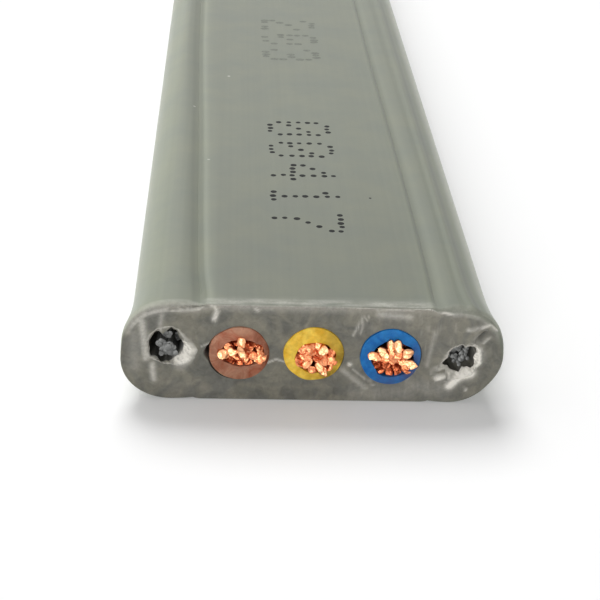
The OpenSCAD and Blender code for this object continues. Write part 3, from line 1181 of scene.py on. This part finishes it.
# Wires that stand out further, or less: layer and place in it, then how far, the bend in X and Z,
# and how steeply it was sheared
STANDING_WIRES = {
    "brown": {
        (2, 9): (0.35, -0.24, 0.06, 0.5), (1, 5): (0.6, 0.14, 0.02, 0.5), (1, 0): (0.3, -0.06, 0.12, 0.5),
        (2, 0): (0.32, -0.04, -0.06, 0.5), (1, 3): (0.0, 0.05, -0.1, 0.9), (2, 6): (0.1, 0.0, -0.05, 0.9),
        (2, 5): (0.05, 0.05, 0.05, 0.7), (0, 0): (0.0, 0.1, -0.05, 1.2), (2, 2): (-0.15, 0.0, -0.05, 1.0),
        (2, 3): (-0.2, 0.0, -0.08, 1.2), (2, 4): (-0.15, 0.0, -0.08, 1.0), (2, 8): (-0.3, 0.0, 0.0, 1.4),
        (2, 10): (-0.35, 0.0, 0.0, 1.3), (2, 11): (-0.05, 0.0, 0.0, 1.2),
    },
    "yellow": {
        (2, 8): (0.4, -0.2, 0.0, 0.5), (1, 2): (0.3, 0.04, -0.1, 0.55), (1, 1): (0.25, -0.16, 0.04, 0.7),
        (2, 4): (0.3, 0.1, 0.02, 0.5), (2, 6): (0.1, -0.05, 0.0, 0.9), (1, 0): (0.1, -0.05, 0.08, 0.8),
        (2, 0): (-0.15, 0.0, 0.0, 1.0), (2, 2): (-0.25, 0.0, 0.0, 1.2),
    },
    "blue": {
        (2, 0): (0.25, -0.06, 0.1, 0.6), (2, 11): (0.4, 0.2, -0.03, 0.6), (2, 10): (0.3, 0.19, 0.1, 0.5),
        (2, 9): (0.5, 0.04, 0.07, 0.7), (2, 7): (0.4, -0.16, 0.16, 0.5), (2, 6): (0.5, -0.03, 0.04, 0.5),
        (2, 5): (0.0, 0.0, 0.0, 1.0), (1, 0): (0.1, 0.0, 0.0, 0.8), (1, 5): (0.1, 0.0, 0.0, 0.8),
        (1, 4): (0.15, 0.0, 0.0, 0.6), (1, 3): (0.1, 0.0, 0.0, 0.8), (0, 0): (0.05, 0.0, 0.0, 1.0),
        (1, 1): (-0.12, 0.0, 0.0, 1.1), (1, 2): (-0.15, 0.0, 0.0, 1.2), (2, 1): (-0.12, 0.0, 0.0, 1.0),
        (2, 2): (-0.2, 0.0, -0.05, 1.0), (2, 3): (-0.22, 0.0, -0.08, 1.0), (2, 4): (-0.2, 0.0, -0.08, 1.2),
        (2, 8): (-0.3, 0.0, 0.0, 1.3),
    },
}


def wire_move(core, ring, place, start, chance):
    """The move that lays a straight wire in its place in a conductor and leaves its end as the cutter did."""
    _, _, (wide, high), (shift_x, shift_z) = CORE_PRESS[core]
    low, most, spread = COPPER_ENDS[core]
    standing = chance.uniform(low, most)
    bend_x, bend_z = chance.uniform(-spread, spread), chance.uniform(-spread, spread)
    slope = chance.uniform(0.2, 1.4)
    lean = chance.uniform(-0.7, 0.5)
    smear, drag = chance.uniform(1.1, 1.5), chance.uniform(0.0, math.pi)
    seed = Vector([chance.uniform(0, 50) for _ in range(3)])
    if (ring, place) in STANDING_WIRES[core]:
        standing, bend_x, bend_z, slope = STANDING_WIRES[core][ring, place]
        lean, smear, drag = -0.2 + 0.3 * lean, smear + 0.15, start + lay_turn(0.0)

    def move(p):
        d = p.y + LENGTH / 2
        f = pressed(d)
        angle = start + lay_turn(d)
        cx = ring * WIRE_STEP * math.cos(angle) * (1 + (wide - 1) * f) + shift_x * MM * f
        cz = ring * WIRE_STEP * math.sin(angle) * (1 + (high - 1) * f) + shift_z * MM * f
        near = 1 - soft(0.0, BEND_DEPTH, d)
        end = 1 - soft(0.0, SHEAR_DEPTH, d)
        # The cutter drags the end out to one side
        out_by = (p.x * math.cos(drag) + p.z * math.sin(drag)) * (smear - 1) * end
        thick = 1 + WIRE_THICKER * end
        x, z = p.x * thick + out_by * math.cos(drag), p.z * thick + out_by * math.sin(drag)
        d += -standing * MM * near + (lean * p.x + slope * p.z) * end
        at = p / TEAR_SIZE + seed
        torn = [TEAR_DEPTH * end * noise.noise(at + Vector((11.0 * i, 0.0, 0.0))) for i in range(3)]
        return (CORE_X[core] + cx + bend_x * MM * near + x + torn[0], CUT_Y + d + torn[1] * 1.2,
                MID_Z + cz + bend_z * MM * near + z + torn[2])

    return move


def copper_material():
    """Bare drawn copper: salmon metal, red with tarnish, bright where it is freshly sheared, with a painted
    near-white highlight on the ends that stand out and painted shade on the sunk ones.
    """
    settings = core_settings()
    material, tree, place = new_material("bare_drawn_copper")
    base = linear(settings.copper)
    fresh_cut_and_painted_light = add_node(tree, "Attribute", attribute_name="fresh_cut_and_painted_light").outputs["Fac"]
    # Tarnish in patches of about 0.4 mm
    tarnish = add_node(tree, "TexNoise", {"Vector": place, "Scale": 2600.0, "Detail": 4.0, "Roughness": 0.65})
    dull = add_node(tree, "ValToRGB", {"Fac": tarnish}, (
        (0.35, tinted(base, (0.4, 0.24, 0.2))),
        (0.62, tinted(base, (0.8, 0.55, 0.5))),
    ))
    bright = add_node(tree, "ValToRGB", {"Fac": tarnish}, (
        (0.35, tinted(base, (0.95, 0.8, 0.75))),
        (0.6, tinted(base, (1.15, 1.35, 1.5))),
    ))
    colour = add_node(tree, "MixRGB", {"Fac": fresh_cut_and_painted_light, "Color1": dull, "Color2": bright})
    # Painted highlight: the ends that stand out furthest turn near-white
    painted_highlight = add_node(tree, "Math", {0: fresh_cut_and_painted_light, 1: 1.15}, operation="SUBTRACT", use_clamp=True)
    colour = add_node(tree, "MixRGB", {"Fac": painted_highlight, "Color1": colour, "Color2": linear(settings.sheared)})
    rough = add_node(tree, "MapRange", {"Value": tarnish, "To Min": 0.4, "To Max": 0.22})
    # Shear marks, drawn coarser than real ones so that they show
    grain = add_node(tree, "TexNoise", {"Vector": place, "Scale": 9000.0, "Detail": 2.0})
    bump = add_node(tree, "Bump", {"Height": grain, "Strength": 0.8, "Distance": 0.05 * MM})
    shader = add_node(tree, "BsdfPrincipled", {
        "Base Color": colour, "Metallic": 1.0, "Roughness": rough, "Normal": bump,
    })
    add_node(tree, "OutputMaterial", {"Surface": shader})
    return material


class CABLE_OT_conductors(bpy.types.Operator):
    """Lays the copper wires of the three conductors, sheared and sprung apart at the cut end"""

    bl_idname = "cable.conductors"
    bl_label = "Conductors"

    def execute(self, context):
        wire = model_wire(WIRE_RADIUS, WIRE_SIDES, WIRE_STATIONS, END_RINGS)
        copper = copper_material()
        for core in CORES:
            chance = random.Random(core)
            for ring, layer in enumerate(("centre_wire", "inner_wires", "outer_wires")):
                count = max(1, 6 * ring)
                moves = [wire_move(core, ring, k, 2 * math.pi * k / count, chance) for k in range(count)]
                obj = copies(f"{core}_copper_{layer}", wire, moves)
                stand = [STANDING_WIRES[core].get((ring, k), (0.0,))[0] for k in range(count)]
                # Painted light and shade: wires that stand out get bright ends, up to a painted near-white
                # highlight, and sunk ones dark ends
                bright = [0.1 if v < -0.1 else 1.0 + soft(0.1, 0.4, v) for v in stand]
                mark_fresh_cut_and_painted_light(obj, wire, FRESH_CUT_AND_PAINTED_DEPTH, bright)
                finish_piece(obj, copper, "copper", f"{core}_{layer}")
        return {"FINISHED"}


# Depths of the rings along a rope's fine wire, in millimetres
ROPE_STATIONS = (0.2, 0.5, 0.9, 1.4, 2.2, 4, 8, 16, 26, 36, 46, 56, 66, 76, 86, 96, 106, 116, 124)
# Wires round the middle one of a strand, and the radius and sides of each
FINE_WIRES, FINE_RADIUS, FINE_SIDES = 6, STRAND_RADIUS / 3, 8
# How far in from the cut each rope ends, how much further its deepest strand does, in millimetres,
# and on which side in degrees
ROPE_ENDS = {"left": (0.35, 1.7, 35), "right": (0.6, 0.35, 205)}
# How far a rope's wires are bent at the cut end, in millimetres, and how much thicker they are pressed
ROPE_FRAY = {"left": (0.07, 0.8), "right": (0.16, 0.4)}
# How far back a rope has sprung back and frayed, how much closer its strands lie at the cut end,
# and how many turns its fine wires make in one turn of the strands
SPRING_DEPTH, FRAY_DEPTH, FRAY_END = 20 * MM, 2.5 * MM, 0.5 * MM
STRANDS_CLOSER, FINE_TURNS = 0.2, 3.2


def rope_wire_move(rope, start, ring, fine, chance):
    """The move that lays a fine wire in its strand, and the strand in its rope, with a frayed end."""
    recess, deeper, side = ROPE_ENDS[rope]
    away = start + lay_turn(0.0) - math.radians(side)
    recess += ring * (0.15 + deeper * max(0.0, math.cos(away))) + chance.uniform(-0.08, 0.12)
    fine_step = 2 * FINE_RADIUS
    loose, thicker = ROPE_FRAY[rope]
    fray = Vector((chance.uniform(-loose, loose), chance.uniform(-loose, loose))) * MM
    slope = chance.uniform(0.0, 1.2)

    def move(p):
        d = p.y + LENGTH / 2
        near = 1 - soft(0.0, FRAY_DEPTH, d)
        end = 1 - soft(0.0, FRAY_END, d)
        d += recess * MM * max(0.0, 1 - d / SPRING_DEPTH) + slope * p.z * end
        angle = start + lay_turn(d)
        cx, cz = rope_place(rope, ROPE_SHIFT, d)
        close = STRAND_STEP * (1 - STRANDS_CLOSER * near)
        cx += ring * close * math.cos(angle)
        cz += ring * close * math.sin(angle)
        if fine is not None:
            own = fine - FINE_TURNS * lay_turn(d)
            cx += fine_step * math.cos(own)
            cz += fine_step * math.sin(own)
        thick = 1 + thicker * end
        return (cx + fray.x * near + p.x * thick, CUT_Y + d, MID_Z + cz + fray.y * near + p.z * thick)

    return move


def steel_material():
    """Galvanised rope wire: dull grey zinc over steel, darker with grease between the wires."""
    material, tree, place = new_material("galvanised_rope_wire")
    base = linear(core_settings().steel)
    # Grease in patches of about 0.3 mm
    grime = add_node(tree, "TexNoise", {"Vector": place, "Scale": 3000.0, "Detail": 4.0, "Roughness": 0.65})
    tone = add_node(tree, "ValToRGB", {"Fac": grime}, (
        (0.38, tinted(base, (0.55, 0.55, 0.55))),
        (0.66, base),
    ))
    rough = add_node(tree, "MapRange", {"Value": grime, "To Min": 0.65, "To Max": 0.38})
    shader = add_node(tree, "BsdfPrincipled", {"Base Color": tone, "Metallic": 0.4, "Roughness": rough})
    add_node(tree, "OutputMaterial", {"Surface": shader})
    return material


class CABLE_OT_ropes(bpy.types.Operator):
    """Lays the fine wires of the two steel ropes, strand by strand, frayed at the cut end"""

    bl_idname = "cable.ropes"
    bl_label = "Steel ropes"

    def execute(self, context):
        wire = model_wire(FINE_RADIUS, FINE_SIDES, ROPE_STATIONS)
        steel = steel_material()
        for rope in ROPES:
            chance = random.Random(rope + " rope")
            for strand in range(STRANDS + 1):
                ring = 1 if strand else 0
                start = 2 * math.pi * (strand - 1) / STRANDS
                moves = [rope_wire_move(rope, start, ring, None, chance)]
                for k in range(FINE_WIRES):
                    moves.append(rope_wire_move(rope, start, ring, 2 * math.pi * k / FINE_WIRES, chance))
                part = f"strand_{strand}" if strand else "core_strand"
                obj = copies(f"{rope}_steel_{part}", wire, moves)
                finish_piece(obj, steel, "rope_steel", f"{rope}_rope_{part}")
        return {"FINISHED"}


# Dot rows of plain digits, five across and seven high, from the top row down
DIGITS = {
    "0": "01110 10001 10011 10101 11001 10001 01110",
    "1": "00100 01100 00100 00100 00100 00100 01110",
    "2": "01110 10001 00001 00110 01000 10000 11111",
    "3": "01110 10001 00001 00110 00001 10001 01110",
    "4": "00010 00110 01010 10010 11111 00010 00010",
    "7": "11111 00001 00010 00100 01000 01000 01000",
}
DOT_ROW, DOT_COLUMN, DIGIT_PITCH = 0.636 * MM, 0.53 * MM, 3.6 * MM
# How far the dots sink into the flat top, their thickness, and how wide and high they slope up
DOT_SUNK, DOT_THICK, DOT_SLOPE, DOT_CROWN = 0.006 * MM, 0.008 * MM, 0.04 * MM, 0.004 * MM
# Where each number starts, from the cut end
NUMBER_START, WORN_START = 25.4 * MM, 47.5 * MM
# A stray fleck of ink: its place and its size beside a dot's
STRAY_FLECK = (3.9 * MM, CUT_Y + 13.5 * MM, 0.45)


def ink_material(name, colour):
    """Printing ink: thin, matt, a little broken up where it has not taken."""
    material, tree, place = new_material(name)
    base = linear(colour)
    # Breaks of about 0.15 mm
    breaks = add_node(tree, "TexNoise", {"Vector": place, "Scale": 7000.0, "Detail": 3.0})
    tone = add_node(tree, "ValToRGB", {"Fac": breaks}, (
        (0.4, base),
        (0.75, tinted(base, (1.3, 1.3, 1.3), 0.015)),
    ))
    shader = add_node(tree, "BsdfPrincipled", {
        "Base Color": tone, "Roughness": 0.8, "Specular IOR Level": 0.2,
    })
    add_node(tree, "OutputMaterial", {"Surface": shader})
    return material


def model_dot():
    """One ink dot: a thin round pad, thinner towards its edge."""
    deselect()
    radius = bpy.context.scene.cable_print.dot / 2
    bpy.ops.mesh.primitive_circle_add(vertices=12, radius=radius, fill_type="NGON")
    dot = bpy.context.object
    bpy.ops.object.mode_set(mode="EDIT")
    bpy.ops.mesh.select_all(action="SELECT")
    bpy.ops.mesh.extrude_region_move(TRANSFORM_OT_translate={"value": (0.0, 0.0, DOT_THICK)})
    bpy.ops.mesh.inset(thickness=DOT_SLOPE, depth=DOT_CROWN)
    face_outwards(dot)
    return take_mesh(dot)


def dot_move(x, y, size, stretch):
    """The move that sets a dot on the flat top, stretched across the cable."""

    def move(v):
        return x + v.x * size * stretch, y + v.y * size * stretch ** 0.5, SHEATH_HIGH.z - DOT_SUNK + v.z

    return move


def dot_places(number, start, chance, kept):
    """Where a number's dots sit on the flat top: it reads towards the cut end, its heads towards +X."""
    places = []
    for i, digit in enumerate(number):
        for row, dots in enumerate(DIGITS[digit].split()):
            for column, dot in enumerate(dots):
                if dot == "1" and chance.random() < kept:
                    x = (3 - row) * DOT_ROW + chance.gauss(0, 0.03) * MM
                    y = CUT_Y + start - i * DIGIT_PITCH - column * DOT_COLUMN + chance.gauss(0, 0.025) * MM
                    places.append((x, y, chance.uniform(0.85, 1.1)))
    return places


class CABLE_OT_print(bpy.types.Operator):
    """Prints the two plain numbers in ink dots on the flat top"""

    bl_idname = "cable.print"
    bl_label = "Print"

    def execute(self, context):
        p = context.scene.cable_print
        dot = model_dot()
        chance = random.Random("print")
        for name, number, start, kept, stretch, ink, flecks in (
            ("printed_number", p.number, NUMBER_START, 1.0, 1.0, p.ink, [STRAY_FLECK]),
            ("worn_number", p.faded_number, WORN_START, 0.9, 1.7, p.faded_ink, []),
        ):
            places = dot_places(number, start, chance, kept) + flecks
            obj = copies(name, dot, [dot_move(*place, stretch) for place in places])
            finish_piece(obj, ink_material(f"{name}_ink", ink), None)
        return {"FINISHED"}


# The camera: its lens and sensor, its place from the middle of the cut end, in millimetres,
# and how far it looks down, turns to the right and rolls, in degrees
LENS, SENSOR = 84.0, 36.0
CAMERA_PLACE = (-4.851, -63.021, 38.09)
CAMERA_TURN = (28.879, 3.607, 2.815)
# The floor lies just below the cable
FLOOR_GAP = 0.02 * MM
WHITE, PAPER = (1.0, 1.0, 1.0, 1.0), (0.98, 0.98, 0.98, 1.0)
# Each softbox: its name, place and size in metres, and power in watts. All are aimed at the cable's near half
SOFTBOXES = (
    ("back_softbox", (-0.15, 0.62, 0.9), 0.6, 10.0),
    ("left_softbox", (-0.7, 0.25, 0.9), 0.9, 3.0),
    ("front_softbox", (-0.2, -0.7, 0.25), 0.25, 2.05),
)
LIGHT_AIM = Vector((0.0, -0.04, 0.0))


def set_camera(scene):
    """Puts the camera at the photograph's viewing angle."""
    lens = bpy.data.cameras.new("camera")
    lens.sensor_width, lens.lens, lens.clip_start = SENSOR, LENS, 0.001
    camera = bpy.data.objects.new("camera", lens)
    scene.collection.objects.link(camera)
    pitch, yaw, roll = (math.radians(a) for a in CAMERA_TURN)
    look = Vector((math.sin(yaw) * math.cos(pitch), math.cos(yaw) * math.cos(pitch), -math.sin(pitch)))
    level = look.cross(Vector((0.0, 0.0, 1.0))).normalized()
    upright = level.cross(look)
    right = math.cos(roll) * level + math.sin(roll) * upright
    up = math.cos(roll) * upright - math.sin(roll) * level
    place = Vector(CAMERA_PLACE) * MM + Vector((0.0, CUT_Y, MID_Z))
    camera.matrix_world = Matrix.Translation(place) @ Matrix((right, up, -look)).transposed().to_4x4()
    scene.camera = camera


def seen_share(tree):
    """1 where a surface is seen, directly, mirrored or through glass, and 0 where it only lights the rest."""
    path = add_node(tree, "LightPath").outputs
    seen = add_node(tree, "Math", {0: path["Is Camera Ray"], 1: path["Is Glossy Ray"]}, operation="MAXIMUM")
    return add_node(tree, "Math", {0: seen, 1: path["Is Transmission Ray"]}, operation="MAXIMUM")


def lay_floor():
    """A wide sheet of white paper that takes the cable's shadow."""
    deselect()
    bpy.ops.mesh.primitive_plane_add(size=4.0, location=(0.0, 0.0, SHEATH_LOW.z - FLOOR_GAP))
    floor = bpy.context.object
    floor.name = "floor"
    material, tree, _ = new_material("white_paper_floor")
    share = add_node(tree, "Math", {0: seen_share(tree), 1: 0.15}, operation="MULTIPLY")
    paper = add_node(tree, "BsdfDiffuse", {"Color": PAPER})
    white = add_node(tree, "Emission", {"Color": WHITE, "Strength": 1.0})
    shader = add_node(tree, "MixShader", {0: share, 1: paper, 2: white})
    add_node(tree, "OutputMaterial", {"Surface": shader})
    floor.data.materials.append(material)


def light_studio(scene):
    """A dim even world that is white where it is seen, and the softboxes."""
    scene.world = bpy.data.worlds.new("studio")
    scene.world.use_nodes = True
    tree = scene.world.node_tree
    tree.nodes.clear()
    strength = add_node(tree, "MapRange", {"Value": seen_share(tree), "To Min": 0.2, "To Max": 1.0})
    sky = add_node(tree, "Background", {"Color": WHITE, "Strength": strength})
    add_node(tree, "OutputWorld", {"Surface": sky})
    for name, place, size, power in SOFTBOXES:
        lamp = bpy.data.lights.new(name, "AREA")
        lamp.size, lamp.energy = size, power
        light = bpy.data.objects.new(name, lamp)
        scene.collection.objects.link(light)
        light.location = place
        light.rotation_euler = (LIGHT_AIM - Vector(place)).to_track_quat("-Z", "Y").to_euler()


class CABLE_OT_stage(bpy.types.Operator):
    """Sets the camera, the pale floor and the soft studio light"""

    bl_idname = "cable.stage"
    bl_label = "Stage"

    def execute(self, context):
        context.scene.view_settings.view_transform = "Standard"
        set_camera(context.scene)
        lay_floor()
        light_studio(context.scene)
        return {"FINISHED"}


class CABLE_PT_panel(bpy.types.Panel):
    """Lists the cable's settings and the steps that build it"""

    bl_idname = "CABLE_PT_panel"
    bl_label = "Flat elevator cable"
    bl_space_type = "VIEW_3D"
    bl_region_type = "UI"
    bl_category = "Cable"

    def draw(self, context):
        for group in (context.scene.cable_sheath, context.scene.cable_cores, context.scene.cable_print):
            box = self.layout.box()
            for name in group.__annotations__:
                box.prop(group, name)
        for operator in OPERATORS:
            self.layout.operator(operator.bl_idname)


SETTINGS = {
    "cable_sheath": CableSheathSettings,
    "cable_cores": CableCoreSettings,
    "cable_print": CablePrintSettings,
}
OPERATORS = (
    CABLE_OT_stage,
    CABLE_OT_sheath,
    CABLE_OT_insulation,
    CABLE_OT_conductors,
    CABLE_OT_ropes,
    CABLE_OT_print,
)
CLASSES = (*SETTINGS.values(), *OPERATORS, CABLE_PT_panel)


def register():
    """Registers the settings, the operators and the panel."""
    for cls in CLASSES:
        bpy.utils.register_class(cls)
    for name, group in SETTINGS.items():
        setattr(bpy.types.Scene, name, PointerProperty(type=group))


def unregister():
    """Takes them all away again."""
    for name in SETTINGS:
        delattr(bpy.types.Scene, name)
    for cls in reversed(CLASSES):
        bpy.utils.unregister_class(cls)


def main():
    """Builds the cable and its stage."""
    register()
    bpy.ops.cable.stage()
    bpy.ops.cable.sheath()
    bpy.ops.cable.insulation()
    bpy.ops.cable.conductors()
    bpy.ops.cable.ropes()
    bpy.ops.cable.print()


if __name__ == "__main__":
    main()
